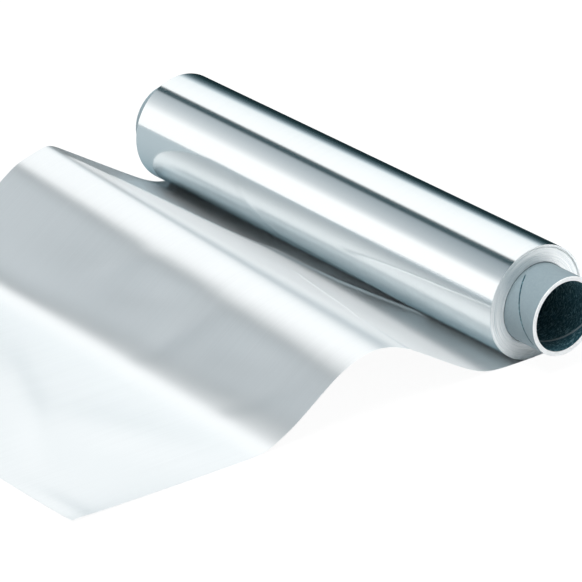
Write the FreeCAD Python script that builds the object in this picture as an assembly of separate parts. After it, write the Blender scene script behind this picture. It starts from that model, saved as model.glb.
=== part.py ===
import FreeCAD, Part
import math
import os

# A wide roll of aluminium foil on a paper core, lying on its own drawn-out sheet.
# +X runs along the roll, +Z is up, and the sheet is drawn out towards -Y.
# The origin is on the floor, at the middle of the whole part. All sizes are in millimetres.

# Web of foil
foil_width = 300.0
roll_radius = 31.15
flat_spot_depth = 0.25
sheet_thickness = 0.35
sheet_run = 292.6
turn_shifts = (0.30, -0.15, 0.15, -0.20, 0.00)

# Paper core
core_bore_radius = 19.05
core_wall = 2.50
core_stands_out_near = 22.0
core_stands_out_far = 13.7
seam_pitch = 83.0
seam_width = 0.8
seam_depth = 0.35
outer_seam_angle = 289.4
inner_seam_angle = 44.0

# Hump of the sheet: flat stretches, in degrees of rise, with a bend between each two and at both
# feet. Every bend has its distance from the roll's axis and its radius, first at the edge over the
# long end of the core, then at the other edge. The last foot's distance follows from the others.
stretch_rises = (31.0, 18.0, -16.2, -30.5)
bends = (
    ((34.2, 50.0), (17.7, 45.0)),
    ((84.4, 80.0), (87.0, 20.0)),
    ((109.8, 8.0), (92.0, 8.0)),
    ((114.8, 8.0), (110.6, 25.0)),
)
last_foot_radius = 40.0

# Places that follow from the sizes
core_radius = core_bore_radius + core_wall
core_length = foil_width + core_stands_out_near + core_stands_out_far
core_far_x = -core_length / 2
foil_far_x = core_far_x + core_stands_out_far
foil_near_x = foil_far_x + foil_width
axis_y = (sheet_run - roll_radius) / 2
axis_z = roll_radius - flat_spot_depth

X_AXIS = FreeCAD.Vector(1, 0, 0)
AXIS_POINT = FreeCAD.Vector(0, axis_y, axis_z)


def cylinder(radius, length, start_x):
    """Return a cylinder along the roll's axis, from start_x towards +X."""
    return Part.makeCylinder(radius, length, AXIS_POINT + X_AXIS * start_x, X_AXIS)


def wound_turns():
    """Return the wound roll: bands of turns, each slid along the core by its own shift."""
    band = (roll_radius - core_radius) / len(turn_shifts)
    far_side, near_side = [], []
    for number, shift in enumerate(turn_shifts):
        for radius in (core_radius + number * band, core_radius + (number + 1) * band):
            height = axis_z + radius
            far_side.append(FreeCAD.Vector(foil_far_x + shift, axis_y, height))
            near_side.append(FreeCAD.Vector(foil_near_x + shift, axis_y, height))
    outline = far_side + near_side[::-1]
    section = Part.Face(Part.makePolygon(outline + outline[:1]))
    roll = section.revolve(AXIS_POINT, X_AXIS, 360)
    below_floor = Part.makeBox(
        core_length, 2 * roll_radius, roll_radius,
        FreeCAD.Vector(core_far_x, axis_y - roll_radius, -roll_radius))
    return roll.cut(below_floor)


def hump_corners(edge):
    """Return the hump's corners at one edge of the web, as (distance, height, bend radius)."""
    distance, radius = bends[0][edge]
    corners = [(distance, 0.0, radius)]
    for bend, rise in zip(bends[1:], stretch_rises):
        distance, radius = bend[edge]
        last_distance, last_height, _ = corners[-1]
        slope = math.tan(math.radians(rise))
        corners.append((distance, last_height + slope * (distance - last_distance), radius))
    distance, height, _ = corners[-1]
    fall = -math.tan(math.radians(stretch_rises[-1]))
    return corners + [(distance + height / fall, 0.0, last_foot_radius)]


def bend_arc(corner, radius, rise_before, rise_after):
    """Return the arc that rounds a corner between stretches of the two given rises, in degrees."""
    turn = math.radians(rise_after - rise_before)
    reach = radius * math.tan(abs(turn) / 2)

    def along(rise):
        return FreeCAD.Vector(0, -math.cos(math.radians(rise)), math.sin(math.radians(rise)))

    start = corner - along(rise_before) * reach
    end = corner + along(rise_after) * reach
    to_middle = (start + end) * 0.5 - corner
    to_middle.normalize()
    middle = corner + to_middle * (radius / math.cos(turn / 2) - radius)
    return Part.Arc(start, middle, end).toShape()


def sheet_point(x, distance, height):
    """Return the point of the sheet at x, at a distance from the roll's axis and a height."""
    return FreeCAD.Vector(x, axis_y - distance, height)


def hump_side(x, edge, lift):
    """Return one side of the hump at x as edges, from its lift-off to its landing.

    edge is 0 for the near edge's shape and 1 for the far edge's. lift is the side's height over
    the underside.
    """
    rises = (0.0,) + stretch_rises + (0.0,)
    side = []
    for number, (distance, height, radius) in enumerate(hump_corners(edge)):
        corner = sheet_point(x, distance, height + lift)
        arc = bend_arc(corner, radius, rises[number], rises[number + 1])
        if side:
            side.append(Part.makeLine(side[-1].lastVertex().Point, arc.firstVertex().Point))
        side.append(arc)
    return side


def flat_stretch(far_ends, near_ends):
    """Return a flat stretch of the sheet between two distances at each edge of the web."""
    corners = [sheet_point(foil_far_x, distance, 0.0) for distance in far_ends]
    corners += [sheet_point(foil_near_x, distance, 0.0) for distance in near_ends[::-1]]
    face = Part.Face(Part.makePolygon(corners + corners[:1]))
    return face.extrude(FreeCAD.Vector(0, 0, sheet_thickness))


def drawn_out_sheet():
    """Return the free sheet: a flat stretch under the roll, the hump, and the flat free end."""
    outlines, lift_offs, landings = [], [], []
    for x, edge in ((foil_far_x, 1), (foil_near_x, 0)):
        underside = hump_side(x, edge, 0.0)
        top = hump_side(x, edge, sheet_thickness)
        landing = Part.makeLine(underside[-1].lastVertex().Point, top[-1].lastVertex().Point)
        lift_off = Part.makeLine(top[0].firstVertex().Point, underside[0].firstVertex().Point)
        outlines.append(Part.Wire(underside + [landing] + top[::-1] + [lift_off]))
        lift_offs.append(axis_y - underside[0].firstVertex().Y)
        landings.append(axis_y - underside[-1].lastVertex().Y)
    hump = Part.makeLoft(outlines, True, True)
    under_roll = flat_stretch((0.0, lift_offs[0]), (0.0, lift_offs[1]))
    free_end = flat_stretch((landings[0], sheet_run), (landings[1], sheet_run))
    return under_roll.fuse([hump, free_end])


def foil_web():
    """Return the wound roll and its free sheet as one strip of foil."""
    return wound_turns().fuse(drawn_out_sheet()).removeSplitter()


def seam_cutter(surface_radius, inward, start_angle):
    """Return the helical wedge that cuts the seam between two turns of the core's paper ply.

    inward is 1 where the wedge's tip points to the axis, and -1 where it points away from it.
    start_angle is where the seam starts at the core's far end, in degrees from straight down.
    """
    helix = Part.makeHelix(seam_pitch, core_length, surface_radius)
    bottom, open_side = surface_radius - inward * seam_depth, surface_radius + inward * seam_depth
    corners = [
        FreeCAD.Vector(bottom, 0, 0),
        FreeCAD.Vector(open_side, 0, -seam_width),
        FreeCAD.Vector(open_side, 0, seam_width)]
    profile = Part.makePolygon(corners + corners[:1])
    strip = Part.Wire(helix).makePipeShell([profile], True, True)
    strip.rotate(FreeCAD.Vector(0, 0, 0), FreeCAD.Vector(0, 0, 1), start_angle)
    strip.rotate(FreeCAD.Vector(0, 0, 0), FreeCAD.Vector(0, 1, 0), 90)
    strip.translate(AXIS_POINT + X_AXIS * core_far_x)
    return strip


def core_tube():
    """Return the spiral-wound paper tube, with its seam outside and inside."""
    tube = cylinder(core_radius, core_length, core_far_x).cut(
        cylinder(core_bore_radius, core_length, core_far_x))
    outer_seam = seam_cutter(core_radius, 1, outer_seam_angle)
    inner_seam = seam_cutter(core_bore_radius, -1, inner_seam_angle)
    return tube.cut(outer_seam).cut(inner_seam)


os.makedirs("parts", exist_ok=True)
for name, shape in (("foil_web", foil_web()), ("core_tube", core_tube())):
    shape.exportStep(f"parts/{name}.step")
    print(name, shape.isValid(), len(shape.Solids), round(shape.Volume / 1000, 2), shape.BoundBox)
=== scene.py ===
import logging
import math
from dataclasses import dataclass
from enum import Enum, IntEnum

import bpy
import numpy as np
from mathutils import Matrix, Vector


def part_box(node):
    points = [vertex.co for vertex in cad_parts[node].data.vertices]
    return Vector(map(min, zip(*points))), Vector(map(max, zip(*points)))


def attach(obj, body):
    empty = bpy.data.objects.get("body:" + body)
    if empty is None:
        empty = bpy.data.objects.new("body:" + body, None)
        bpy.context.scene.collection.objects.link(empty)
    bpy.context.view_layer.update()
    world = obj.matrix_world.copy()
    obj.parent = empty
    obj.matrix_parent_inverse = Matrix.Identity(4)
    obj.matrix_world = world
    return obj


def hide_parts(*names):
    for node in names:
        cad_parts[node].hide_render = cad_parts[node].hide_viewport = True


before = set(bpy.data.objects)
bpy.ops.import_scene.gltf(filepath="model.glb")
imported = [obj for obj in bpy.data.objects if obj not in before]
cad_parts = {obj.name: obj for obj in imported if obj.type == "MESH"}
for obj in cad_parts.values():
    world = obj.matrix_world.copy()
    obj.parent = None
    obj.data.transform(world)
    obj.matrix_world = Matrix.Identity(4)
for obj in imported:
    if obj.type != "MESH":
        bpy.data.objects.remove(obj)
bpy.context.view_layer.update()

# A wide roll of aluminium foil on its paper core, lying on its own drawn-out sheet.
# +X runs along the roll towards the core's longer end, +Z is up, and the sheet is drawn out
# towards -Y. Lengths are in metres, except where a name or a docstring says millimetres.
LOG = logging.getLogger("foil_roll")
MM = 0.001
IMAGE_SIZE_PX = 582
SENSOR_WIDTH_MM = 36.0

# The web's width and how far the core's long end stands out of it, in millimetres.
FOIL_WIDTH_MM = 300.0
CORE_STANDS_OUT_MM = 22.0

Colour = tuple[float, float, float, float]
WHITE: Colour = (1.0, 1.0, 1.0, 1.0)


def srgb(red: float, green: float, blue: float) -> Colour:
    """Turn a screen colour into the linear colour that shaders take.

    Args:
        red: Red from 0 to 255.
        green: Green from 0 to 255.
        blue: Blue from 0 to 255.

    Returns:
        The linear red, green, blue and an alpha of 1.
    """
    screen = np.array([red, green, blue]) / 255.0
    linear = np.where(screen <= 0.04045, screen / 12.92, ((screen + 0.055) / 1.055) ** 2.4)
    return (float(linear[0]), float(linear[1]), float(linear[2]), 1.0)


class Nodes:
    """A short way to place and join the nodes of one tree."""

    def __init__(self, tree: bpy.types.NodeTree) -> None:
        """Keep the tree that the nodes go into."""
        self.tree = tree

    def add(self, kind: str, inputs: dict | None = None, **settings: object) -> bpy.types.Node:
        """Place a node.

        Args:
            kind: The node's type name, without its ShaderNode start.
            inputs: Socket name or number, to a value or to the output that feeds it.
            **settings: The node's own properties.

        Returns:
            The new node.
        """
        node = self.tree.nodes.new("ShaderNode" + kind)
        for name, value in settings.items():
            setattr(node, name, value)
        for socket, value in (inputs or {}).items():
            if isinstance(value, bpy.types.NodeSocket):
                self.tree.links.new(value, node.inputs[socket])
            else:
                node.inputs[socket].default_value = value
        return node

    def math(self, operation: str, *values: object) -> bpy.types.NodeSocket:
        """Return the output of a Math node over one, two or three values or sockets."""
        node = self.add("Math", dict(enumerate(values)), operation=operation)
        return node.outputs[0]

    def join(self, output: bpy.types.NodeSocket, node: bpy.types.Node, socket: str | int) -> None:
        """Feed a socket of a node from an output."""
        self.tree.links.new(output, node.inputs[socket])

    def smooth_step(self, value: bpy.types.NodeSocket, low: float, high: float,
                    start: float = 0.0, end: float = 1.0) -> bpy.types.NodeSocket:
        """Return an output that goes smoothly from start to end as value goes from low to high.

        Args:
            value: What drives it.
            low: Value up to which it stays at start.
            high: Value from which it stays at end.
            start: Output at the low end.
            end: Output at the high end.

        Returns:
            The output.
        """
        node = self.add("MapRange", {
            "Value": value, "From Min": low, "From Max": high, "To Min": start, "To Max": end},
            interpolation_type="SMOOTHSTEP")
        return node.outputs[0]

    def mix(self, factor: object, first: object, second: object,
            blend_type: str = "MIX") -> bpy.types.NodeSocket:
        """Return the colour that two colours make together.

        Args:
            factor: Share of the second colour, held between 0 and 1.
            first: The first colour or the output that gives it.
            second: The second colour or the output that gives it.
            blend_type: How the two are put together.

        Returns:
            The mixed colour's output.
        """
        node = self.add("Mix", {"Factor": factor, 6: first, 7: second}, data_type="RGBA",
                        blend_type=blend_type, clamp_factor=True)
        return node.outputs[2]

    def ramp(self, factor: bpy.types.NodeSocket, stops: list[tuple[float, Colour]],
             interpolation: str = "LINEAR") -> bpy.types.NodeSocket:
        """Return the colour of a ramp.

        Args:
            factor: What drives the ramp, from 0 to 1.
            stops: Place and colour of each stop, in order.
            interpolation: How colours blend between stops.

        Returns:
            The ramp's colour output.
        """
        node = self.add("ValToRGB", {"Fac": factor})
        node.color_ramp.interpolation = interpolation
        elements = node.color_ramp.elements
        while len(elements) < len(stops):
            elements.new(0.5)
        for element, (place, colour) in zip(elements, stops):
            element.position = place
            element.color = colour
        return node.outputs["Color"]


def new_group(
        name: str, inputs: dict[str, float], outputs: tuple[str, ...],
) -> tuple[bpy.types.NodeTree, Nodes, bpy.types.Node, bpy.types.Node]:
    """Make a node group with float inputs, a vector input and float outputs.

    Args:
        name: The group's name.
        inputs: Name and default value of each float input.
        outputs: Names of the float outputs.

    Returns:
        The group, its Nodes helper, its input node and its output node.
    """
    group = bpy.data.node_groups.new(name, "ShaderNodeTree")
    group.interface.new_socket("Vector", in_out="INPUT", socket_type="NodeSocketVector")
    for socket, value in inputs.items():
        made = group.interface.new_socket(socket, in_out="INPUT", socket_type="NodeSocketFloat")
        made.default_value = value
    for socket in outputs:
        group.interface.new_socket(socket, in_out="OUTPUT", socket_type="NodeSocketFloat")
    start = group.nodes.new("NodeGroupInput")
    end = group.nodes.new("NodeGroupOutput")
    return group, Nodes(group), start, end


def new_material(name: str) -> tuple[bpy.types.Material, Nodes, bpy.types.Node]:
    """Make a material with its shader.

    Args:
        name: The material's name.

    Returns:
        The material, its Nodes helper and its Principled BSDF.
    """
    made = bpy.data.materials.new(name)
    made.use_nodes = True
    return made, Nodes(made.node_tree), made.node_tree.nodes["Principled BSDF"]


class SharedEffects:
    """Effects that several finishes use, each a node group made once."""

    streaks_per_metre: float = 12.0
    mottle_scale: float = 160.0
    fibre_bend: float = 0.012

    def __init__(self) -> None:
        """Make the groups."""
        self.rolling_marks = self._rolling_marks()
        self.paper_fibres = self._paper_fibres()

    def _rolling_marks(self) -> bpy.types.NodeTree:
        """Make fine lines that run along the web: noise drawn out along u, over metres of web.

        Returns:
            The group, with the lines and softer clouds as its outputs.
        """
        group, kit, start, end = new_group(
            "rolling_marks", {"Lines per metre": 3000.0, "Cloud size": 30.0}, ("Lines", "Clouds"))
        split = kit.add("SeparateXYZ", {0: start.outputs["Vector"]})
        across = kit.math("MULTIPLY", split.outputs["Y"], start.outputs["Lines per metre"])
        along = kit.math("MULTIPLY", split.outputs["X"], self.streaks_per_metre)
        stretched = kit.add("CombineXYZ", {"X": along, "Y": across})
        lines = kit.add("TexNoise", {"Vector": stretched.outputs[0], "Scale": 1.0, "Detail": 2.0})
        clouds = kit.add("TexNoise", {
            "Vector": start.outputs["Vector"], "Scale": start.outputs["Cloud size"], "Detail": 3.0})
        kit.join(lines.outputs["Fac"], end, "Lines")
        kit.join(clouds.outputs["Fac"], end, "Clouds")
        return group

    def _paper_fibres(self) -> bpy.types.NodeTree:
        """Make the short tangled fibres of pressed paper: noise bent by a slower noise.

        Returns:
            The group, with the fibres as its output.
        """
        group, kit, start, end = new_group("paper_fibres", {"Scale": 900.0}, ("Fibres",))
        slow = kit.add("TexNoise", {
            "Vector": start.outputs["Vector"], "Scale": self.mottle_scale, "Detail": 2.0})
        bent = kit.add("VectorMath", {
            0: slow.outputs["Color"], 1: (self.fibre_bend,) * 3}, operation="MULTIPLY")
        moved = kit.add("VectorMath", {
            0: start.outputs["Vector"], 1: bent.outputs[0]}, operation="ADD")
        fibres = kit.add("TexNoise", {
            "Vector": moved.outputs[0], "Scale": start.outputs["Scale"], "Detail": 4.0,
            "Roughness": 0.65})
        kit.join(fibres.outputs["Fac"], end, "Fibres")
        return group


class WebSide(Enum):
    """The two sides of the rolled foil."""

    BRIGHT = "bright"
    SATIN = "satin"


@dataclass(frozen=True)
class GrazingScatter:
    """How a matt side of the web scatters light where it is seen at a grazing angle.

    It grows over facing_range of the Layer Weight. The web is smoother past the line
    v = smooth_from + smooth_slope u and close under the roll, up to u at the end of smooth_run,
    and only smooth_share of the scatter is left there. Lengths are in metres of web.
    """

    metallic: float
    roughness: float
    facing_range: tuple[float, float] = (0.62, 0.88)
    smooth_from: float = 0.156
    smooth_slope: float = 1.41
    smooth_blur: float = 0.006
    smooth_run: tuple[float, float] = (0.017, 0.024)
    smooth_share: float = 0.1

    def share(self, kit: Nodes, web: bpy.types.NodeSocket) -> bpy.types.NodeSocket:
        """Return how much of the scatter there is at each place.

        Args:
            kit: The material's nodes.
            web: The web's UV map.

        Returns:
            The output of the share, from 0 to 1.
        """
        facing = kit.add("LayerWeight", {"Blend": 0.5}).outputs["Facing"]
        grazing = kit.smooth_step(facing, *self.facing_range)
        split = kit.add("SeparateXYZ", {0: web})
        past = kit.math("MULTIPLY_ADD", split.outputs["X"], -self.smooth_slope, split.outputs["Y"])
        across = kit.smooth_step(
            past, self.smooth_from - self.smooth_blur, self.smooth_from + self.smooth_blur,
            1.0, self.smooth_share)
        along = kit.smooth_step(split.outputs["X"], *self.smooth_run, self.smooth_share, 1.0)
        return kit.math("MULTIPLY", kit.math("MULTIPLY", grazing, across), along)


@dataclass(frozen=True)
class FoilFinish:
    """Bare rolled aluminium on one side of the web.

    edge_tint is the mirror's colour at a grazing angle. cloud_change is how far the roughness goes
    up and down in soft clouds. line_shade is the rolling lines' colour as a share of the foil's,
    and line_depth their depth in metres.
    """

    side: WebSide
    colour: Colour
    edge_tint: Colour
    metallic: float
    roughness: float
    cloud_change: float
    line_depth: float
    line_shade: float = 0.955
    line_range: tuple[float, float] = (0.3, 0.7)
    scatter: GrazingScatter | None = None

    def material(self, effects: SharedEffects) -> bpy.types.Material:
        """Build the foil's material on the web's own UV map, in metres along and across it.

        Args:
            effects: The shared node groups.

        Returns:
            The material.
        """
        made, kit, shader = new_material(f"{self.side.value}_foil")
        shader.inputs["Specular Tint"].default_value = self.edge_tint
        shader.inputs["Metallic"].default_value = self.metallic
        web = kit.add("UVMap", uv_map="web").outputs[0]
        marks = kit.add("Group", {"Vector": web}, node_tree=effects.rolling_marks)
        line_colour = tuple(self.line_shade * part for part in self.colour[:3]) + (1.0,)
        line_to, plain_from = self.line_range
        colour = kit.ramp(marks.outputs["Lines"], [
            (line_to, line_colour), (plain_from, self.colour)])
        kit.join(colour, shader, "Base Color")
        roughness = kit.math(
            "MULTIPLY_ADD", marks.outputs["Clouds"], self.cloud_change,
            self.roughness - self.cloud_change / 2)
        if self.scatter:
            share = self.scatter.share(kit, web)
            metallic = kit.math(
                "MULTIPLY_ADD", share, self.scatter.metallic - self.metallic, self.metallic)
            kit.join(metallic, shader, "Metallic")
            roughness = kit.math(
                "MULTIPLY_ADD", share, self.scatter.roughness - self.roughness, roughness)
        kit.join(roughness, shader, "Roughness")
        fine = kit.add("Bump", {
            "Strength": 1.0, "Distance": self.line_depth, "Height": marks.outputs["Lines"]})
        kit.join(fine.outputs[0], shader, "Normal")
        return made


@dataclass(frozen=True)
class TurnEdgeFinish:
    """The cut edges of the wound turns, as seen on the roll's two ends.

    Its rings are noise drawn out round the roll. They have the gap's colour up to the start of
    colour_range and the metal's from its end. ring_depth is in metres.
    """

    colour: Colour = srgb(250, 252, 252)
    gap_colour: Colour = srgb(194, 205, 209)
    colour_range: tuple[float, float] = (0.36, 0.52)
    turns_per_metre: float = 9000.0
    arcs_per_metre: float = 25.0
    roughness: float = 0.42
    anisotropy: float = 0.85
    anisotropy_turn: float = 0.25
    ring_strength: float = 0.6
    ring_depth: float = 0.00006

    def material(self) -> bpy.types.Material:
        """Build the ringed metal of the turn edges, with u round the roll and v outwards.

        Returns:
            The material.
        """
        made, kit, shader = new_material("turn_edges")
        shader.inputs["Metallic"].default_value = 1.0
        shader.inputs["Roughness"].default_value = self.roughness
        shader.inputs["Anisotropic"].default_value = self.anisotropy
        shader.inputs["Anisotropic Rotation"].default_value = self.anisotropy_turn
        split = kit.add("SeparateXYZ", {0: kit.add("UVMap", uv_map="web").outputs[0]})
        outwards = kit.math("MULTIPLY", split.outputs["Y"], self.turns_per_metre)
        round_roll = kit.math("MULTIPLY", split.outputs["X"], self.arcs_per_metre)
        stretched = kit.add("CombineXYZ", {"X": round_roll, "Y": outwards})
        rings = kit.add("TexNoise", {"Vector": stretched.outputs[0], "Scale": 1.0, "Detail": 3.0})
        gap_to, metal_from = self.colour_range
        colour = kit.ramp(rings.outputs["Fac"], [
            (gap_to, self.gap_colour), (metal_from, self.colour)])
        kit.join(colour, shader, "Base Color")
        bump = kit.add("Bump", {
            "Strength": self.ring_strength, "Distance": self.ring_depth,
            "Height": rings.outputs["Fac"]})
        kit.join(bump.outputs[0], shader, "Normal")
        tangent = kit.add("Tangent", direction_type="UV_MAP", uv_map="web")
        kit.join(tangent.outputs[0], shader, "Tangent")
        return made


@dataclass(frozen=True)
class PaperFinish:
    """Wound paper on one face of the core.

    Its fibres have the paper's colour up to the start of fibre_range and their own from its end,
    and a fibre_stretch above 1 makes them longer round the core than along it. bump_depth is in
    metres.
    """

    name: str
    colour: Colour
    fibre_colour: Colour
    fibre_range: tuple[float, float]
    roughness: float
    bump_depth: float
    fibre_scale: float = 900.0
    fibre_stretch: float = 1.0
    gloss: float = 0.2

    def material(self, effects: SharedEffects) -> bpy.types.Material:
        """Build the paper on Object coordinates.

        Args:
            effects: The shared node groups.

        Returns:
            The material.
        """
        made, kit, shader = new_material(self.name)
        shader.inputs["Roughness"].default_value = self.roughness
        shader.inputs["Specular IOR Level"].default_value = self.gloss
        place = kit.add("TexCoord")
        drawn = kit.add("VectorMath", {
            0: place.outputs["Object"], 1: (self.fibre_stretch, 1.0, 1.0)}, operation="MULTIPLY")
        paper = kit.add("Group", {
            "Vector": drawn.outputs[0], "Scale": self.fibre_scale}, node_tree=effects.paper_fibres)
        paper_to, fibre_from = self.fibre_range
        colour = kit.ramp(paper.outputs["Fibres"], [
            (paper_to, self.colour), (fibre_from, self.fibre_colour)])
        kit.join(colour, shader, "Base Color")
        bump = kit.add("Bump", {
            "Strength": 1.0, "Distance": self.bump_depth, "Height": paper.outputs["Fibres"]})
        kit.join(bump.outputs[0], shader, "Normal")
        return made


def grid_faces(rows: int, columns: int, first: int = 0, ring: bool = False) -> np.ndarray:
    """Number the quads of a grid of points, row by row.

    Args:
        rows: Points along the first parameter.
        columns: Points along the second parameter.
        first: Number of the grid's first point.
        ring: True where the last row and the last column meet the first ones.

    Returns:
        An array of four point numbers a quad.
    """
    row = np.arange(rows if ring else rows - 1)[:, None]
    column = np.arange(columns if ring else columns - 1)[None, :]
    below, after = (row + 1) % rows, (column + 1) % columns
    corners = (
        row * columns + column, row * columns + after,
        below * columns + after, below * columns + column)
    return np.stack(corners, -1).reshape(-1, 4) + first


def make_piece(name: str, points: np.ndarray, quads: np.ndarray, web: np.ndarray,
               materials: list[bpy.types.Material], face_material: np.ndarray,
               smooth: np.ndarray, node: str) -> bpy.types.Object:
    """Put arrays into a mesh piece that rides on the part's one body.

    Args:
        name: The piece's name.
        points: Point places in metres.
        quads: Four point numbers a face, anticlockwise from outside.
        web: UV of each face corner, in metres of web.
        materials: The piece's materials.
        face_material: Which material each face has.
        smooth: Which faces are shaded smooth.
        node: The solid that it stands for.

    Returns:
        The new object.
    """
    mesh = bpy.data.meshes.new(name)
    mesh.vertices.add(len(points))
    mesh.vertices.foreach_set("co", points.astype(np.float32).ravel())
    mesh.loops.add(quads.size)
    mesh.loops.foreach_set("vertex_index", quads.astype(np.int32).ravel())
    mesh.polygons.add(len(quads))
    mesh.polygons.foreach_set("loop_start", np.arange(0, quads.size, 4, dtype=np.int32))
    for material in materials:
        mesh.materials.append(material)
    mesh.polygons.foreach_set("material_index", face_material.astype(np.int32))
    mesh.polygons.foreach_set("use_smooth", smooth)
    layer = mesh.uv_layers.new(name="web")
    layer.data.foreach_set("uv", web.astype(np.float32).ravel())
    mesh.update(calc_edges=True)
    mesh.validate()
    piece = bpy.data.objects.new(name, mesh)
    bpy.context.scene.collection.objects.link(piece)
    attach(piece, "root")
    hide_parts(node)
    return piece


def turned_piece(name: str, axis: tuple[float, float], along: np.ndarray, radius: np.ndarray,
                 face_material: np.ndarray, materials: list[bpy.types.Material],
                 node: str, floor: float | None = None) -> bpy.types.Object:
    """Make a closed ring-shaped piece from a section carried round the roll's axis.

    The point of row i and column j is at along[i, j] on X, and at radius[i, j] from the axis, at
    the angle of 360 j / columns degrees from +Y towards +Z. The rows close into a loop.

    Args:
        name: The piece's name.
        axis: Y and Z of the axis, in metres.
        along: X of each point, in metres.
        radius: Distance of each point from the axis, in metres.
        face_material: Material number of each row of faces, or of each row and column.
        materials: The piece's materials.
        node: The solid that it stands for.
        floor: Height that no point goes below.

    Returns:
        The new object.
    """
    rows, columns = along.shape
    angle = np.linspace(0.0, 2 * np.pi, columns, endpoint=False)
    points = np.stack([
        along, axis[0] + radius * np.cos(angle), axis[1] + radius * np.sin(angle)], -1)
    if floor is not None:
        points[..., 2] = np.maximum(points[..., 2], floor)
    quads = grid_faces(rows, columns, ring=True)
    row = np.arange(rows)[:, None]
    column = np.arange(columns)[None, :]
    section = np.stack([along.mean(1), radius.mean(1)], -1)
    run = np.concatenate([[0.0], np.cumsum(np.linalg.norm(np.diff(
        np.concatenate([section, section[:1]]), axis=0), axis=1))])
    girth = float(radius.max())
    left, right = column * girth * 2 * np.pi / columns, (column + 1) * girth * 2 * np.pi / columns
    top, bottom = run[row], run[row + 1]
    shape = (rows, columns)
    web = np.stack([
        np.stack([np.broadcast_to(u, shape), np.broadcast_to(v, shape)], -1)
        for u, v in ((left, top), (right, top), (right, bottom), (left, bottom))], 2).reshape(-1, 2)
    return make_piece(
        name, points.reshape(-1, 3), quads, web, materials,
        np.broadcast_to(face_material.reshape(rows, -1), shape).ravel(),
        np.ones(len(quads), dtype=bool), node)


def bump_between(value: np.ndarray, centre: float, width: float) -> np.ndarray:
    """Return a smooth bump of height 1 at the centre: exp of minus the squared distance."""
    return np.exp(-((value - centre) / width) ** 2)


@dataclass
class RollPlace:
    """Where the roll lies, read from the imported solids, in metres."""

    axis_y: float
    axis_z: float
    core_radius: float
    roll_radius: float
    near_x: float
    far_x: float
    core_near_x: float
    core_far_x: float
    free_end_y: float

    @classmethod
    def from_frame(cls) -> "RollPlace":
        """Read the place from the boxes of the core and the foil.

        Returns:
            The roll's place.
        """
        core_low, core_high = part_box("core_tube")
        foil_low, foil_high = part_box("foil_web")
        axis_y = (core_low.y + core_high.y) / 2
        axis_z = (core_low.z + core_high.z) / 2
        near_x = core_high.x - CORE_STANDS_OUT_MM * MM
        return cls(
            axis_y=axis_y, axis_z=axis_z, core_radius=(core_high.z - core_low.z) / 2,
            roll_radius=foil_high.z - axis_z, near_x=near_x, far_x=near_x - FOIL_WIDTH_MM * MM,
            core_near_x=core_high.x, core_far_x=core_low.x, free_end_y=foil_low.y)

    @property
    def sheet_run_mm(self) -> float:
        """Distance of the sheet's cut end from the roll's axis, in millimetres."""
        return (self.axis_y - self.free_end_y) / MM


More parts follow.
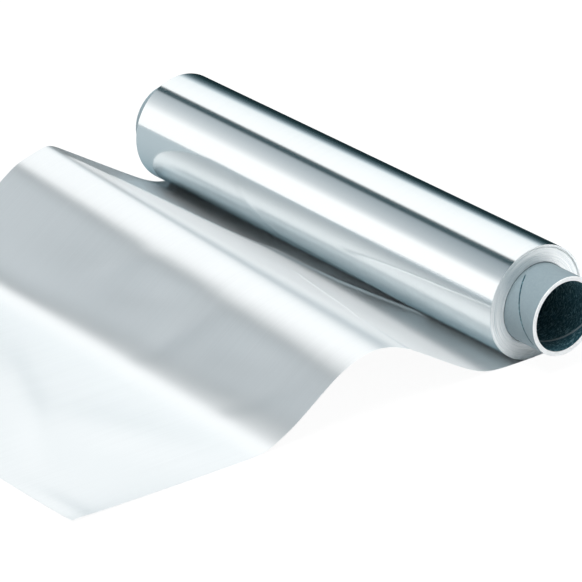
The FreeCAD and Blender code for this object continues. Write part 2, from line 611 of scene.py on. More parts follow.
@dataclass
class WoundTurns:
    """The wound part of the foil: its bright outside and the turn edges at its two ends.

    Each of the gaps has its distance inside the roll's surface and how much deeper it lies where
    the turns have sprung loose most, at the angle gap_faces, in degrees from +Y towards +Z.
    """

    place: RollPlace
    columns: int = 256
    rings: int = 110
    ring_crowding: float = 0.75
    outside_rows: int = 40
    near_seed: int = 3
    far_seed: int = 8
    turn_shift: float = 0.16 * MM
    turn_waves: tuple[float, ...] = (5.0, 9.0, 14.0, 22.0)
    wave_drift: float = 0.35
    gaps: tuple[tuple[float, float], ...] = ((0.9 * MM, 0.9 * MM), (0.8 * MM, 0.5 * MM))
    gap_faces: float = 40.0
    gap_power: int = 6
    gap_width: float = 0.13 * MM
    gap_depth: float = 1.1 * MM
    inner_turns: float = 0.25 * MM
    inner_blur: float = 0.05 * MM
    inner_recess: float = 0.9 * MM
    sharp_edge: float = 0.04 * MM
    sheet_top: float = 0.0001

    def _relief(self, radius: np.ndarray, angle: np.ndarray, seed: int) -> np.ndarray:
        """Return how far each point of an end face stands out.

        The turns drift to and fro: a sum of waves over the radius, whose phases turn slowly with
        the angle because the web spirals. The last turns have sprung loose over a part of the
        girth, which leaves two gaps, and the innermost turns stand back.

        Args:
            radius: Distance of each point from the axis.
            angle: Angle of each point.
            seed: Start of the random phases.

        Returns:
            The relief in metres.
        """
        core_radius, roll_radius = self.place.core_radius, self.place.roll_radius
        share = (radius - core_radius) / (roll_radius - core_radius)
        random = np.random.default_rng(seed)
        relief = np.zeros(np.broadcast(radius, angle).shape)
        for waves in self.turn_waves:
            phase = random.uniform(0, 2 * np.pi)
            drift = random.uniform(-self.wave_drift, self.wave_drift)
            turned = phase + drift * np.sin(angle + phase)
            relief += np.sin(2 * np.pi * waves * share + turned) / waves
        relief *= self.turn_shift
        towards_gaps = np.cos(angle - math.radians(self.gap_faces))
        sprung = np.clip(0.5 + 0.5 * towards_gaps, 0, 1) ** self.gap_power
        for inset, spread in self.gaps:
            gap = roll_radius - inset - spread * sprung
            relief -= self.gap_depth * sprung * bump_between(radius, gap, self.gap_width)
        inner = core_radius + self.inner_turns
        relief -= self.inner_recess / (1 + np.exp((radius - inner) / self.inner_blur))
        return relief

    def build(self, materials: list[bpy.types.Material]) -> bpy.types.Object:
        """Build the closed roll.

        Args:
            materials: The bright foil and the turn edges.

        Returns:
            The roll.
        """
        place = self.place
        angle = np.linspace(0, 2 * np.pi, self.columns, endpoint=False)[None, :]
        share = np.linspace(0.0, 1.0, self.rings) ** self.ring_crowding
        ring_radius = place.core_radius + (place.roll_radius - place.core_radius) * share
        ring_radius[-2] = place.roll_radius - self.sharp_edge
        ring_radius = np.broadcast_to(ring_radius[:, None], (self.rings, self.columns))
        near = place.near_x + self._relief(ring_radius, angle, self.near_seed)
        far = place.far_x - self._relief(ring_radius, angle, self.far_seed)
        share = np.linspace(0, 1, self.outside_rows)[:, None]
        near_edge, far_edge = near[-1] - self.sharp_edge, far[-1] + self.sharp_edge
        outside_x = near_edge + (far_edge - near_edge) * share
        outside_radius = np.full(outside_x.shape, place.roll_radius)
        along = np.concatenate([near, outside_x, far[::-1]])
        radius = np.concatenate([ring_radius, outside_radius, ring_radius[::-1]])
        kinds = np.concatenate([
            np.ones(self.rings - 1), np.zeros(self.outside_rows + 1), np.ones(self.rings)])
        return turned_piece(
            "wound_turns", (place.axis_y, place.axis_z), along, radius, kinds, materials,
            "foil_web", floor=self.sheet_top)


@dataclass(frozen=True)
class Stretch:
    """A bend of the sheet and the flat stretch after it, sizes in millimetres.

    near and far are the bend's distance from the roll's axis at the two edges of the web, and
    near_round and far_round how gently it bends. rise is the slope after it, in degrees.
    """

    near: float
    far: float
    near_round: float
    far_round: float
    rise: float


@dataclass(frozen=True)
class Dent:
    """A soft dent in the sheet, or a soft bulge where its height is above 0.

    Its middle is from_near_edge from the near edge and distance from the roll's axis. Sizes are in
    millimetres, and it is turned by an angle in degrees.
    """

    from_near_edge: float
    distance: float
    length: float
    width: float
    turn: float
    height: float


@dataclass(frozen=True)
class Crease:
    """A raised line across the sheet, sizes in millimetres.

    Its corners are pairs of distance from the near edge and distance from the roll's axis, from
    the near edge outwards.
    """

    corners: tuple[tuple[float, float], ...]
    height: float
    width: float
    end_fade: float = 12.0

    def relief(self, from_near: np.ndarray, distance: np.ndarray) -> np.ndarray:
        """Return the crease's height: a bump over the line, faded out at both of its ends.

        Args:
            from_near: Distance from the near edge of the web.
            distance: Distance from the roll's axis.

        Returns:
            The heights.
        """
        places = np.array(self.corners)
        line = np.interp(from_near, places[:, 0], places[:, 1])
        slope = np.interp(
            from_near, (places[1:, 0] + places[:-1, 0]) / 2,
            np.diff(places[:, 1]) / np.diff(places[:, 0]))
        aside = (distance - line) / np.sqrt(1 + slope * slope)
        past_start = np.clip((from_near - places[0, 0]) / self.end_fade + 1.0, 0, 1)
        before_end = np.clip((places[-1, 0] - from_near) / self.end_fade + 1.0, 0, 1)
        return self.height * past_start * before_end * bump_between(aside, 0.0, self.width)


@dataclass
class DrawnSheet:
    """The sheet drawn out from under the roll, with its hump, creases and soft dents.

    Its sizes are in millimetres, but for its thickness in metres. The rows across it lie closer
    together by valley_density within the valley, which is a range of distances from the axis.
    """

    place: RollPlace
    across_steps: int = 150
    run_steps: int = 300
    valley: tuple[float, float] = (8.0, 92.0)
    valley_density: float = 2.0
    thickness: float = 0.00008
    sharp_edge: float = 0.05
    stretches: tuple[Stretch, ...] = (
        Stretch(35.0, 17.7, 5.4, 5.0, 31.0),
        Stretch(85.6, 87.0, 3.4, 1.2, 21.0),
        Stretch(96.2, 91.9, 2.5, 1.4, 9.0),
        Stretch(109.0, 92.0, 3.5, 1.6, -15.5),
        Stretch(119.5, 110.0, 3.0, 1.8, -25.5),
        Stretch(131.5, 114.5, 2.6, 2.0, -35.5),
        Stretch(158.0, 160.0, 3.0, 3.0, -27.0),
    )
    last_round: float = 3.2
    creases: tuple[Crease, ...] = (
        Crease(((81, 11.5), (133, 20), (190, 25), (222, 44.5), (259, 73)), 0.5, 1.6),
        Crease(((3, 84), (27, 81), (48, 77), (73, 67), (87, 63.5), (114, 55), (133, 48)), 0.6, 1.2),
    )
    dents: tuple[Dent, ...] = (
        Dent(178, 131, 16, 6, 35, 0.5),
        Dent(148, 138, 22, 7, 20, -0.6),
        Dent(110, 150, 24, 9, 60, 0.6),
        Dent(62, 142, 26, 8, 10, -0.5),
        Dent(34, 158, 18, 6, 40, 0.4),
        Dent(220, 150, 40, 14, 5, 0.8),
        Dent(150, 222, 34, 9, -30, 1.0),
        Dent(104, 243, 40, 9, -32, 1.1),
        Dent(60, 215, 50, 18, 20, 0.6),
        Dent(200, 250, 60, 16, -20, 0.9),
        Dent(14, 286, 26, 6, 0, 0.4),
    )
    corner_lift: float = 1.4
    corner_lift_reach: float = 14.0
    corner_lift_from: float = 195.0
    corner_lift_power: float = 1.5

    def height(self, from_near: np.ndarray, distance: np.ndarray) -> np.ndarray:
        """Return the height of the sheet's underside, in millimetres.

        Each bend adds its change of slope times a softened ramp, w ln(1 + exp((d - c) / w)), with
        c its place and w its roundness, both blended between the two edges of the web.

        Args:
            from_near: Distance from the near edge of the web.
            distance: Distance from the roll's axis.

        Returns:
            The heights.
        """
        share = from_near / FOIL_WIDTH_MM
        slopes = [math.tan(math.radians(stretch.rise)) for stretch in self.stretches]
        near_bends = self._bends([stretch.near for stretch in self.stretches], slopes)
        far_bends = self._bends([stretch.far for stretch in self.stretches], slopes)
        near_rounds = [stretch.near_round for stretch in self.stretches] + [self.last_round]
        far_rounds = [stretch.far_round for stretch in self.stretches] + [self.last_round]
        changes = np.diff([0.0] + slopes + [0.0])
        total = np.zeros(np.broadcast(from_near, distance).shape)
        for near, far, near_round, far_round, change in zip(
                near_bends, far_bends, near_rounds, far_rounds, changes):
            bend = near + share * (far - near)
            soft = near_round + share * (far_round - near_round)
            total += change * soft * np.logaddexp(0.0, (distance - bend) / soft)
        return total + self._details(from_near, distance, total)

    @staticmethod
    def _bends(places: list[float], slopes: list[float]) -> list[float]:
        """Add the last foot, where the last slope has brought the sheet back to the floor.

        Args:
            places: Distance of each bend from the roll's axis.
            slopes: Rise over run of the stretch after each bend.

        Returns:
            The distances of all the bends.
        """
        height = sum(
            slope * (after - before)
            for slope, before, after in zip(slopes, places, places[1:]))
        return places + [places[-1] - height / slopes[-1]]

    def _details(self, from_near: np.ndarray, distance: np.ndarray,
                 base: np.ndarray) -> np.ndarray:
        """Return what the creases, the dents and the lifted corner add to the sheet's height.

        Args:
            from_near: Distance from the near edge of the web.
            distance: Distance from the roll's axis.
            base: The sheet's height without them. They never bring it below the floor.

        Returns:
            The added heights.
        """
        detail = np.zeros(base.shape)
        for crease in self.creases:
            detail = detail + crease.relief(from_near, distance)
        for dent in self.dents:
            turn = math.radians(dent.turn)
            x, y = from_near - dent.from_near_edge, distance - dent.distance
            u = (x * math.cos(turn) + y * math.sin(turn)) / dent.length
            v = (y * math.cos(turn) - x * math.sin(turn)) / dent.width
            detail = detail + dent.height * np.exp(-u * u - v * v)
        run_length = self.place.sheet_run_mm - self.corner_lift_from
        share = np.clip((distance - self.corner_lift_from) / run_length, 0, 1)
        lift = share ** self.corner_lift_power * np.exp(-from_near / self.corner_lift_reach)
        return np.maximum(detail + self.corner_lift * lift, -base)

    def _distances(self) -> np.ndarray:
        """Place the rows along the web, closer together in the valley.

        Returns:
            Their distances from the roll's axis, from the line under it to the cut end.
        """
        run_length = self.place.sheet_run_mm
        before, behind = self.valley
        share = (behind - before) * self.valley_density / (
            run_length + (behind - before) * (self.valley_density - 1))
        valley_steps = round(self.run_steps * share)
        other_steps = self.run_steps - valley_steps
        first_steps = round(other_steps * before / (run_length - behind + before))
        return np.concatenate([
            np.linspace(0.0, before, first_steps, endpoint=False),
            np.linspace(before, behind, valley_steps, endpoint=False),
            np.linspace(behind, run_length, other_steps - first_steps)[:-1],
            [run_length - self.sharp_edge, run_length]])

    def build(self, materials: list[bpy.types.Material]) -> bpy.types.Object:
        """Build the sheet as a closed shell.

        Args:
            materials: The satin side, which lies on top, and the bright side below.

        Returns:
            The sheet.
        """
        even = np.linspace(0.0, FOIL_WIDTH_MM, self.across_steps)
        from_near = np.concatenate([
            even[:1], [self.sharp_edge], even[1:-1], [FOIL_WIDTH_MM - self.sharp_edge], even[-1:]])
        from_near, distance = np.meshgrid(from_near, self._distances(), indexing="ij")
        low = self.height(from_near, distance) * MM
        x = self.place.near_x - from_near * MM
        y = self.place.axis_y - distance * MM
        under = np.stack([x, y, low], -1)
        top = np.stack([x, y, low + self.thickness], -1)
        rows, columns = distance.shape
        count = rows * columns
        numbers = np.arange(count).reshape(rows, columns)
        rim = np.concatenate([
            numbers[0, :-1], numbers[:-1, -1], numbers[-1, :0:-1], numbers[:0:-1, 0]])
        after = np.roll(rim, -1)
        sides = np.stack([rim, after, after + count, rim + count], -1)
        upper = grid_faces(rows, columns, first=count)
        lower = grid_faces(rows, columns)[:, ::-1]
        quads = np.concatenate([upper, lower, sides])
        kinds = np.concatenate([np.zeros(len(upper)), np.ones(len(lower)), np.zeros(len(sides))])
        flat_place = np.stack([distance, from_near], -1).reshape(-1, 2) * MM
        web = np.concatenate([flat_place, flat_place])[quads].reshape(-1, 2)
        points = np.concatenate([under.reshape(-1, 3), top.reshape(-1, 3)])
        smooth = np.arange(len(quads)) < len(upper) + len(lower)
        return make_piece(
            "drawn_sheet", points, quads, web, materials, kinds, smooth, "foil_web")


class CoreFace(IntEnum):
    """The faces of the core, in the order of its materials."""

    OUTSIDE = 0
    RIM = 1
    INSIDE = 2


@dataclass
class CoreTube:
    """The spiral-wound paper tube, with the seam of its ply outside and inside.

    The seam has five rows of points: seam_rows are their places across it, in seam widths, and a
    profile is their depth below the surface, as shares of seam_depth. Points deeper than
    groove_from outside take the dark inside paper, as painted shade in the groove. Points raised
    higher than lip_from inside take the lighter outside paper, as painted light on the lip.
    Starts and turns of the seam are in degrees.
    """

    place: RollPlace
    bore_radius: float = 19.05 * MM
    columns: int = 288
    rim_round: float = 0.45 * MM
    rim_rows: int = 5
    under_foil: float = 0.6 * MM
    shown_inside: float = 26.0 * MM
    seam_pitch: float = 83.0 * MM
    seam_width: float = 0.50 * MM
    seam_depth: float = 0.90 * MM
    seam_margin: float = 3.0 * MM
    seam_rows: tuple[float, ...] = (-1.6, -0.8, 0.0, 0.8, 1.6)
    groove_profile: tuple[float, ...] = (0.0, 0.1, 1.0, 0.1, 0.0)
    lip_profile: tuple[float, ...] = (0.0, -0.35, 0.55, 0.1, 0.0)
    groove_from: float = 0.3 * MM
    lip_from: float = 0.1 * MM
    outside_seam_start: float = 117.4
    inside_seam_start: float = 215.3
    far_seam_turn: float = 60.0
    rows_beside_seam: int = 7

    def _seam_stretch(self, low: float, high: float, start_angle: float,
                      profile: tuple[float, ...]) -> tuple[np.ndarray, np.ndarray]:
        """Lay rows between two places on X so that five of them follow the seam.

        Within the angles where the seam crosses the stretch, its rows climb by the pitch each
        turn. Round the rest of the girth they sink back, with no groove.

        Args:
            low: Lowest X of the stretch.
            high: Highest X of the stretch.
            start_angle: Angle, in degrees, at which the seam enters at low.
            profile: Depth of the five rows, as shares of the seam's depth.

        Returns:
            X of each row and column, and how deep each lies below the surface.
        """
        angle = np.linspace(0, 360, self.columns, endpoint=False)
        past = (angle - start_angle) % 360.0
        span = (high - low) / self.seam_pitch * 360.0
        climb = np.clip(past / span, 0, 1)
        sink = np.clip((360.0 - past) / (360.0 - span), 0, 1)
        share = np.where(past <= span, climb, sink)
        seam = low + self.seam_margin + (high - low - 2 * self.seam_margin) * share
        deep = np.where(past <= span, 1.0, 0.0)
        across = np.array(self.seam_rows) * self.seam_width
        depth = np.array(profile) * self.seam_depth
        steps = np.linspace(0, 1, self.rows_beside_seam + 1)[:, None]
        before = low + (seam + across[0] - low) * steps[:-1]
        after = seam + across[-1] + (high - seam - across[-1]) * steps[1:]
        rows = np.concatenate([before, seam + across[:, None], after])
        depths = np.concatenate([
            np.zeros(before.shape), depth[:, None] * deep, np.zeros(after.shape)])
        return rows, depths

    def build(self, materials: list[bpy.types.Material]) -> bpy.types.Object:
        """Build the tube as one closed section carried round the axis.

        Args:
            materials: The outside paper, the cut rim and the inside paper.

        Returns:
            The tube.
        """
        place = self.place
        outer, inner, edge = place.core_radius, self.bore_radius, self.rim_round
        low, high = place.core_far_x, place.core_near_x
        corner = np.linspace(0, np.pi / 2, self.rim_rows)[1:-1, None]
        ones = np.ones((1, self.columns))
        rows, radii, kinds = [], [], []

        def add(along: np.ndarray, radius: np.ndarray, face: CoreFace,
                seam_face: CoreFace = CoreFace.OUTSIDE, seam_below: float = 0.0) -> None:
            """Append rows of the section.

            Args:
                along: X of each row, or of each row and column.
                radius: Distance from the axis, likewise.
                face: The face whose material they have.
                seam_face: The face whose material they have below a radius. In the outside
                groove it is the dark inside paper, painted shade; on the inside lip it is the
                lighter outside paper, painted light.
                seam_below: That radius.
            """
            rows.append(along * ones)
            radii.append(radius * ones)
            lowest = np.minimum(radii[-1], np.roll(radii[-1], -1, axis=0))
            kinds.append(np.where(lowest < seam_below, int(seam_face), int(face)))

        near_out, near_out_depth = self._seam_stretch(
            place.near_x - self.under_foil, high - edge, self.outside_seam_start,
            self.groove_profile)
        far_out, far_out_depth = self._seam_stretch(
            low + edge, place.far_x + self.under_foil,
            self.outside_seam_start + self.far_seam_turn, self.groove_profile)
        near_in, near_in_depth = self._seam_stretch(
            high - edge - self.shown_inside, high - edge, self.inside_seam_start,
            self.lip_profile)
        far_in, far_in_depth = self._seam_stretch(
            low + edge, low + edge + self.shown_inside,
            self.inside_seam_start + self.far_seam_turn, self.lip_profile)
        groove, lip = outer - self.groove_from, inner - self.lip_from
        flat = np.linspace(outer - edge, inner + edge, self.rim_rows)[:, None]
        up, down = edge * np.sin(corner), edge * np.cos(corner)
        # The groove of the outside seam takes the dark inside paper: painted shade in the groove.
        add(far_out, outer - far_out_depth, CoreFace.OUTSIDE, CoreFace.INSIDE, groove)
        add(near_out, outer - near_out_depth, CoreFace.OUTSIDE, CoreFace.INSIDE, groove)
        add(high - edge + up, outer - edge + down, CoreFace.RIM)
        add(np.full(flat.shape, high), flat, CoreFace.RIM)
        add(high - edge + down, inner + edge - up, CoreFace.RIM)
        # The raised lip of the inside seam takes the lighter outside paper: painted light on the
        # lip.
        add(near_in[::-1], inner + near_in_depth[::-1], CoreFace.INSIDE, CoreFace.OUTSIDE, lip)
        add(far_in[::-1], inner + far_in_depth[::-1], CoreFace.INSIDE, CoreFace.OUTSIDE, lip)
        add(low + edge - up, inner + edge - down, CoreFace.RIM)
        add(np.full(flat.shape, low), flat[::-1], CoreFace.RIM)
        add(low + edge - down, outer - edge + up, CoreFace.RIM)
        return turned_piece(
            "core_tube_wound", (place.axis_y, place.axis_z), np.concatenate(rows),
            np.concatenate(radii), np.concatenate(kinds), materials, "core_tube")


@dataclass
class PhotoCamera:
    """The photograph's camera, in the calibrated place and with its long lens.

    The place is counted from the point of the roll's axis at the near edge of the web.
    """

    place: RollPlace
    azimuth: float = 51.447
    elevation: float = 24.713
    focal_px: float = 4185.2
    from_near_edge: tuple[float, float, float] = (1.4379, -1.3059, 0.8984)

    def build(self) -> bpy.types.Object:
        """Place the camera and make it the scene's own.

        Returns:
            The camera.
        """
        data = bpy.data.cameras.new("photo_camera")
        data.sensor_width = SENSOR_WIDTH_MM
        data.lens = self.focal_px / IMAGE_SIZE_PX * SENSOR_WIDTH_MM
        data.clip_start, data.clip_end = 0.1, 50.0
        camera = bpy.data.objects.new("photo_camera", data)
        bpy.context.scene.collection.objects.link(camera)
        camera.location = (
            self.place.near_x + self.from_near_edge[0],
            self.place.axis_y + self.from_near_edge[1],
            self.place.axis_z + self.from_near_edge[2])
        camera.rotation_euler = (
            math.radians(90.0 - self.elevation), 0.0, math.radians(self.azimuth))
        bpy.context.scene.camera = camera
        return camera


@dataclass
class Studio:
    """The white room: its floor, its soft light and the dark flags that foil mirrors.

    white, fill and lamp are how strong the mirrored room, the light from all round and the lamp
    are. Angles are in degrees and lengths in metres. The wall's middle is counted from the roll's
    near end, and the front of the floor's flag from the roll's axis. The strip is askew to the
    roll: its angle shifts by strip_slant times a direction's part along the roll, counted from
    middle_slant, and by no more than strip_shift. Over slant_range of that part, the greys of the
    bands beside it go from the far ones to the near ones.
    """

    place: RollPlace
    white: float = 1.12
    fill: float = 0.48
    lamp: float = 0.90
    lamp_spread: float = 36.0
    lamp_lean: float = 17.0
    strip: Colour = srgb(56, 76, 82)
    far_greys: tuple[float, ...] = (180.0, 199.0, 219.0, 238.0)
    near_greys: tuple[float, ...] = (144.0, 163.0, 176.0, 206.0)
    middle_slant: float = 0.705
    slant_range: float = 0.067
    strip_slant: float = -0.54
    strip_shift: float = 0.05
    corner: Colour = srgb(84, 102, 108)
    corner_rise: float = 3.5
    corner_start: float = -3.6
    floor_size: float = 14.0
    floor_seen: float = 0.95
    floor_shaded: float = 0.09
    floor_lit: float = 0.88
    floor_fade: float = 0.25
    wall_middle: tuple[float, float] = (-0.650, 0.503)
    wall_turn: float = 28.0
    wall_length: float = 4.0
    wall_height: float = 0.40
    flag: Colour = srgb(34, 52, 56)
    flag_front: float = 0.036
    flag_size: float = 3.0
    flag_height: float = 0.0005
    stripe_reach: float = 0.30
    stripe_fade: float = 0.5

    def build(self) -> None:
        """Build the whole stage."""
        self._world()
        self._lamp()
        self._floor()
        self._wall()
        self._floor_flag()

    def _bands(self, kit: Nodes, share: bpy.types.NodeSocket,
               greys: tuple[float, ...]) -> bpy.types.NodeSocket:
        """Return the colours of the room's ceiling, over its angle from +Y to -Y.

        The darker a grey is, the more it leans to blue-green.

        Args:
            kit: The world's nodes.
            share: The angle divided by 180 degrees.
            greys: Screen greys of the four bands between the dark strip and the white side.

        Returns:
            The colour output.
        """
        tints = [srgb(grey - (255 - grey) / 9, grey, grey + (255 - grey) / 15) for grey in greys]
        return kit.ramp(share, [
            (0.000, srgb(90, 106, 110)), (0.120, srgb(120, 134, 140)), (0.170, WHITE),
            (0.489, WHITE), (0.503, self.strip), (0.558, self.strip), (0.578, tints[0]),
            (0.655, tints[1]), (0.722, tints[2]), (0.760, tints[3]), (0.800, WHITE)])

    def _world(self) -> None:
        """Light everything evenly, and let metal mirror a white room with a dark strip above.

        Where a band of the room lies is read from the angle of the direction in the plane across
        the roll, from +Y over +Z to -Y. Towards the corner of +X and +Y the room is dark.
        """
        world = bpy.data.worlds.new("studio")
        bpy.context.scene.world = world
        world.use_nodes = True
        kit = Nodes(world.node_tree)
        split = kit.add("SeparateXYZ", {0: kit.add("TexCoord").outputs["Generated"]})
        slant = kit.math("ADD", split.outputs["X"], self.middle_slant)
        angle = kit.math("ARCTAN2", split.outputs["Z"], split.outputs["Y"])
        share = kit.math("DIVIDE", angle, math.pi)
        near_share = kit.math("MULTIPLY_ADD", slant, 1 / self.slant_range, 0.5)
        shift = kit.math("MAXIMUM", kit.math("MULTIPLY", slant, self.strip_slant), -self.strip_shift)
        askew = kit.math("ADD", share, kit.math("MINIMUM", shift, self.strip_shift))
        bands = kit.mix(
            near_share, self._bands(kit, askew, self.far_greys),
            self._bands(kit, askew, self.near_greys))
        towards_corner = kit.math("ADD", split.outputs["X"], split.outputs["Y"])
        dark = kit.math("MULTIPLY_ADD", towards_corner, self.corner_rise, self.corner_start)
        room = kit.mix(dark, bands, self.corner)
        path = kit.add("LightPath")
        mirrored = kit.add("Background", {"Color": room, "Strength": self.white})
        even = kit.add("Background", {"Color": WHITE, "Strength": self.fill})
        backdrop = kit.add("Background", {"Color": WHITE, "Strength": 1.0})
        seen = kit.add("MixShader", {
            0: path.outputs["Is Camera Ray"], 1: even.outputs[0], 2: backdrop.outputs[0]})
        mix = kit.add("MixShader", {
            0: path.outputs["Is Glossy Ray"], 1: seen.outputs[0], 2: mirrored.outputs[0]})
        kit.join(mix.outputs[0], world.node_tree.nodes["World Output"], "Surface")

    def _lamp(self) -> None:
        """Hang a wide soft lamp above the roll and somewhat before it, unseen in metal."""
        data = bpy.data.lights.new("soft_lamp", "SUN")
        data.energy = self.lamp * math.pi
        data.angle = math.radians(self.lamp_spread)
        lamp = bpy.data.objects.new("soft_lamp", data)
        bpy.context.scene.collection.objects.link(lamp)
        lamp.rotation_euler = (math.radians(self.lamp_lean), 0.0, 0.0)
        lamp.visible_glossy = False
        lamp.visible_camera = False

    def _card(self, name: str, corners: list[tuple[float, float, float]],
              material: bpy.types.Material) -> bpy.types.Object:
        """Make one flat card of the stage.

        Args:
            name: The card's name.
            corners: Its corners in metres.
            material: Its material.

        Returns:
            The card.
        """
        mesh = bpy.data.meshes.new(name)
        mesh.from_pydata(corners, [], [tuple(range(len(corners)))])
        mesh.materials.append(material)
        card = bpy.data.objects.new(name, mesh)
        bpy.context.scene.collection.objects.link(card)
        return card

    def _flag(self, name: str, corners: list[tuple[float, float, float]],
              material: bpy.types.Material) -> None:
        """Make a card that shows in metal alone, and neither lights nor shades anything.

        Args:
            name: The card's name.
            corners: Its corners in metres.
            material: Its material.
        """
        card = self._card(name, corners, material)
        card.visible_camera = False
        card.visible_diffuse = False
        card.visible_shadow = False
        card.visible_transmission = False

    def _bare_material(self, name: str) -> tuple[bpy.types.Material, Nodes, bpy.types.Node]:
        """Make a material with nothing but its output.

        Args:
            name: The material's name.

        Returns:
            The material, its Nodes helper and its output node.
        """
        material, kit, shader = new_material(name)
        kit.tree.nodes.remove(shader)
        return material, kit, kit.tree.nodes["Material Output"]

    def _floor(self) -> None:
        """Lay the pale floor, which stays white in the camera but for the object's shadow.

        Metal mirrors it pale grey beside the roll, and white past the roll's near end.
        """
        material, kit, output = self._bare_material("floor")
        path = kit.add("LightPath")
        seen = kit.add("Emission", {"Color": WHITE, "Strength": self.floor_seen})
        shaded = kit.add("BsdfDiffuse", {"Color": (self.floor_shaded,) * 3 + (1.0,)})
        both = kit.add("AddShader", {0: seen.outputs[0], 1: shaded.outputs[0]})
        lit = kit.add("BsdfDiffuse", {"Color": (self.floor_lit,) * 3 + (1.0,)})
        split = kit.add("SeparateXYZ", {0: kit.add("TexCoord").outputs["Object"]})
        past_end = kit.math(
            "MULTIPLY_ADD", split.outputs["X"], 1 / self.floor_fade,
            0.5 - self.place.near_x / self.floor_fade)
        mirrored = kit.add("BsdfDiffuse", {"Color": kit.ramp(past_end, [
            (0.40, srgb(164, 175, 180)), (0.60, srgb(250, 251, 252))])})
        others = kit.add("MixShader", {
            0: path.outputs["Is Glossy Ray"], 1: lit.outputs[0], 2: mirrored.outputs[0]})
        mix = kit.add("MixShader", {
            0: path.outputs["Is Camera Ray"], 1: others.outputs[0], 2: both.outputs[0]})
        kit.join(mix.outputs[0], output, "Surface")
        half = self.floor_size / 2
        self._card("floor", [
            (-half, -half, 0.0), (half, -half, 0.0), (half, half, 0.0), (-half, half, 0.0)],
            material)

    def _wall(self) -> None:
        """Stand a dark wall behind the roll, which fades into the white above it."""
        material, kit, output = self._bare_material("flag_wall")
        split = kit.add("SeparateXYZ", {0: kit.add("TexCoord").outputs["Object"]})
        share = kit.math("DIVIDE", split.outputs["Z"], self.wall_height)
        colour = kit.ramp(share, [
            (0.00, self.flag), (0.18, srgb(36, 55, 58)), (0.25, srgb(44, 66, 69)),
            (0.39, srgb(72, 92, 96)), (0.52, srgb(96, 110, 116)), (0.67, srgb(150, 160, 166)),
            (0.83, srgb(215, 223, 227)), (0.95, WHITE)])
        glow = kit.add("Emission", {"Color": colour, "Strength": self.white})
        kit.join(glow.outputs[0], output, "Surface")
        turn = math.radians(self.wall_turn)
        run = np.array([math.cos(turn), math.sin(turn)]) * self.wall_length / 2
        middle = np.array([self.place.near_x, self.place.axis_y]) + np.array(self.wall_middle)
        start, end = middle - run, middle + run
        self._flag("flag_wall", [
            (*start, 0.0), (*end, 0.0), (*end, self.wall_height), (*start, self.wall_height)],
            material)

    def _floor_flag(self) -> None:
        """Lay a dark flag on the floor behind the roll, with a soft lighter stripe along it."""
        material, kit, output = self._bare_material("flag_floor")
        split = kit.add("SeparateXYZ", {0: kit.add("TexCoord").outputs["Object"]})
        across = kit.math("SUBTRACT", split.outputs["Y"], self.place.axis_y)
        along = kit.math("SUBTRACT", split.outputs["X"], self.place.near_x)
        levels = ((0.15, 0.0), (0.36, 1.0), (0.46, 0.7), (0.62, 0.2), (0.85, 0.08), (1.0, 0.0))
        stripe = kit.ramp(
            kit.math("DIVIDE", across, self.stripe_reach),
            [(place, (level, level, level, 1.0)) for place, level in levels], "EASE")
        glow = kit.ramp(kit.math("MULTIPLY_ADD", along, 1 / self.stripe_fade, 1.0), [
            (0.05, (0.045, 0.065, 0.068, 1.0)), (0.35, (0.09, 0.11, 0.115, 1.0)),
            (0.50, (0.17, 0.20, 0.21, 1.0)), (0.62, (0.29, 0.32, 0.33, 1.0)),
            (0.70, (0.24, 0.27, 0.28, 1.0)), (0.76, (0.15, 0.18, 0.19, 1.0))])
        lit = kit.mix(1.0, stripe, glow, "MULTIPLY")
        whole = kit.mix(1.0, lit, self.flag, "ADD")
        shine = kit.add("Emission", {"Color": whole, "Strength": 1.0})
        kit.join(shine.outputs[0], output, "Surface")
        near, front = self.place.near_x, self.place.axis_y + self.flag_front
        far, back, height = near - self.flag_size, front + self.flag_size, self.flag_height
        self._flag("flag_floor", [
            (far, front, height), (near, front, height), (near, back, height),
            (far, back, height)], material)


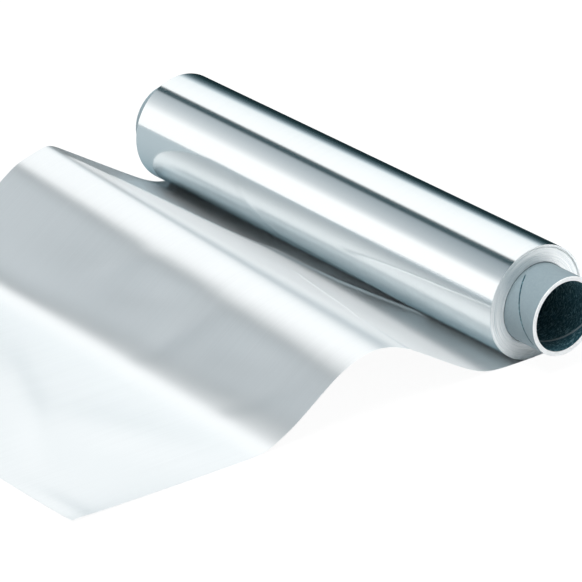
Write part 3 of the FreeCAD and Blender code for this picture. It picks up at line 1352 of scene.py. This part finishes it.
def set_view() -> None:
    """Use the plain view transform, and let foil mirror foil five times over in the valley."""
    bpy.context.scene.view_settings.view_transform = "Standard"
    bpy.context.scene.cycles.max_bounces = 16
    bpy.context.scene.cycles.glossy_bounces = 5
    bpy.context.scene.cycles.diffuse_bounces = 8


def main() -> None:
    """Build the foil roll, its stage and its camera."""
    logging.basicConfig(level=logging.INFO)
    place = RollPlace.from_frame()
    effects = SharedEffects()
    edge_tint = srgb(190, 208, 214)
    bright_foil = FoilFinish(
        side=WebSide.BRIGHT, colour=srgb(246, 250, 251), edge_tint=edge_tint, metallic=1.0,
        roughness=0.12, cloud_change=0.03, line_depth=0.000004).material(effects)
    satin_foil = FoilFinish(
        side=WebSide.SATIN, colour=srgb(247, 250, 251), edge_tint=edge_tint, metallic=0.88,
        roughness=0.31, cloud_change=0.04, line_depth=0.000003,
        scatter=GrazingScatter(metallic=0.35, roughness=0.5)).material(effects)
    turn_edges = TurnEdgeFinish().material()
    outside_paper = PaperFinish(
        name="core_outside", colour=srgb(129, 145, 152), fibre_colour=srgb(136, 152, 158),
        fibre_range=(0.35, 0.65), roughness=0.55, bump_depth=0.00001).material(effects)
    rim_paper = PaperFinish(
        name="core_rim", colour=srgb(238, 243, 245), fibre_colour=srgb(250, 252, 253),
        fibre_range=(0.35, 0.65), roughness=0.7, bump_depth=0.00004).material(effects)
    # The inside paper's dark blue-green is painted shade: the paper is darkened for the shade deep
    # in the bore.
    shaded_inside_paper = PaperFinish(
        name="core_inside_painted_shade", colour=srgb(30, 70, 81), fibre_colour=srgb(130, 168, 178),
        fibre_range=(0.50, 0.72), roughness=0.8, bump_depth=0.0001, fibre_scale=560.0,
        fibre_stretch=2.6).material(effects)
    pieces = (
        WoundTurns(place).build([bright_foil, turn_edges]),
        DrawnSheet(place).build([satin_foil, bright_foil]),
        CoreTube(place).build([outside_paper, rim_paper, shaded_inside_paper]))
    for piece in pieces:
        mesh = piece.data
        LOG.info("%s: %d points, %d faces", piece.name, len(mesh.vertices), len(mesh.polygons))
    PhotoCamera(place).build()
    Studio(place).build()
    set_view()


if __name__ == "__main__":
    main()
